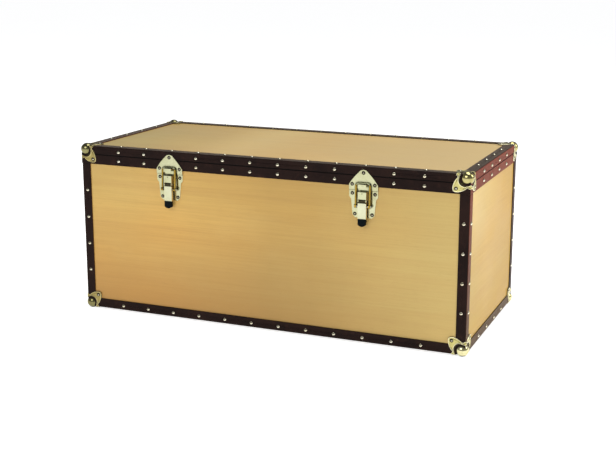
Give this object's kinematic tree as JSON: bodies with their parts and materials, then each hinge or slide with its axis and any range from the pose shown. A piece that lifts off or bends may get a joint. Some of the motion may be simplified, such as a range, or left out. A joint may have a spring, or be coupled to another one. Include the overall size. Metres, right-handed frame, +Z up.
{
  "type": "footlocker",
  "caption": "Long low plywood trunk with dark fibre edging, brass ball corners and dome nails, a hinged lid held by draw latches, and slotted lid stays inside.",
  "frame": {"origin": "on the floor, under the middle of the case", "axes": "+X along the length to the right, -Y to the front with the latches, +Z up"},
  "size_m": [0.966, 0.461, 0.4095],
  "materials": {
    "wood": "lacquered honey plywood",
    "fibre": "satin dark brown fibre edging",
    "brass": "polished pale brass",
    "steel": "brushed",
    "black_plastic": "satin black"
  },
  "bodies": {
    "case": {"bottom_panel": "wood", "front_panel": "wood", "back_panel": "wood", "left_end_panel": "wood", "right_end_panel": "wood", "front_bottom_edging": "fibre", "back_bottom_edging": "fibre", "left_bottom_edging": "fibre", "right_bottom_edging": "fibre", "front_left_post_edging": "fibre", "front_right_post_edging": "fibre", "back_left_post_edging": "fibre", "back_right_post_edging": "fibre", "front_left_bottom_ball_corner": "brass", "front_right_bottom_ball_corner": "brass", "back_left_bottom_ball_corner": "brass", "back_right_bottom_ball_corner": "brass", "case_nails": "brass", "case_under_nails": "brass", "case_rivets": "brass", "case_hinge_leaf": "brass", "hinge_pin": "steel", "left_latch_base": "brass", "right_latch_base": "brass", "lever_pins": "steel", "stay_studs": "steel"},
    "lid": {"lid_top_panel": "wood", "lid_front_rail": "wood", "lid_back_rail": "wood", "lid_left_rail": "wood", "lid_right_rail": "wood", "lid_front_edging": "fibre", "lid_back_edging": "fibre", "lid_left_edging": "fibre", "lid_right_edging": "fibre", "lid_front_valance": "fibre", "lid_left_valance": "fibre", "lid_right_valance": "fibre", "front_left_lid_ball_corner": "brass", "front_right_lid_ball_corner": "brass", "back_left_lid_ball_corner": "brass", "back_right_lid_ball_corner": "brass", "lid_nails": "brass", "lid_upper_nails": "brass", "lid_rivets": "brass", "lid_hinge_leaf": "brass", "left_latch_strike": "brass", "right_latch_strike": "brass", "stay_brackets": "steel"},
    "left_latch_lever": {"left_lever": "brass", "left_lever_tip": "black_plastic", "left_bail_pin": "steel"},
    "left_latch_bail": {"left_bail": "brass"},
    "left_stay": {"left_stay_arm": "steel"},
    "right_latch_lever": {"right_lever": "brass", "right_lever_tip": "black_plastic", "right_bail_pin": "steel"},
    "right_latch_bail": {"right_bail": "brass"},
    "right_stay": {"right_stay_arm": "steel"}
  },
  "joints": [
    {"name": "lid_hinge", "type": "hinge", "parent": "case", "child": "lid", "pos_m": [0, 0.2233, 0.3613], "axis": [-1, 0, 0], "range_deg": [0, 100]},
    {"name": "left_lever_pivot", "type": "hinge", "parent": "case", "child": "left_latch_lever", "pos_m": [-0.23959, -0.2295, 0.3295], "axis": [-1, 0, 0], "range_deg": [0, 90]},
    {"name": "left_bail_pivot", "type": "hinge", "parent": "left_latch_lever", "child": "left_latch_bail", "pos_m": [-0.23959, -0.2288, 0.3175], "axis": [-1, 0, 0], "range_deg": [-90, 0]},
    {"name": "right_lever_pivot", "type": "hinge", "parent": "case", "child": "right_latch_lever", "pos_m": [0.23959, -0.2295, 0.3295], "axis": [-1, 0, 0], "range_deg": [0, 90]},
    {"name": "right_bail_pivot", "type": "hinge", "parent": "right_latch_lever", "child": "right_latch_bail", "pos_m": [0.23959, -0.2288, 0.3175], "axis": [-1, 0, 0], "range_deg": [-90, 0]},
    {"name": "left_stay_pivot", "type": "hinge", "parent": "lid", "child": "left_stay", "pos_m": [-0.4642, 0.0733, 0.3753], "axis": [-1, 0, 0], "range_deg": [-50, 0]},
    {"name": "right_stay_pivot", "type": "hinge", "parent": "lid", "child": "right_stay", "pos_m": [0.4642, 0.0733, 0.3753], "axis": [-1, 0, 0], "range_deg": [-50, 0]}
  ],
  "couplings": [
    {"joint": "left_bail_pivot", "follows": "left_lever_pivot", "ratio": -1},
    {"joint": "right_bail_pivot", "follows": "right_lever_pivot", "ratio": -1},
    {"joint": "left_stay_pivot", "follows": "lid_hinge", "ratio": -0.5},
    {"joint": "right_stay_pivot", "follows": "lid_hinge", "ratio": -0.5}
  ]
}
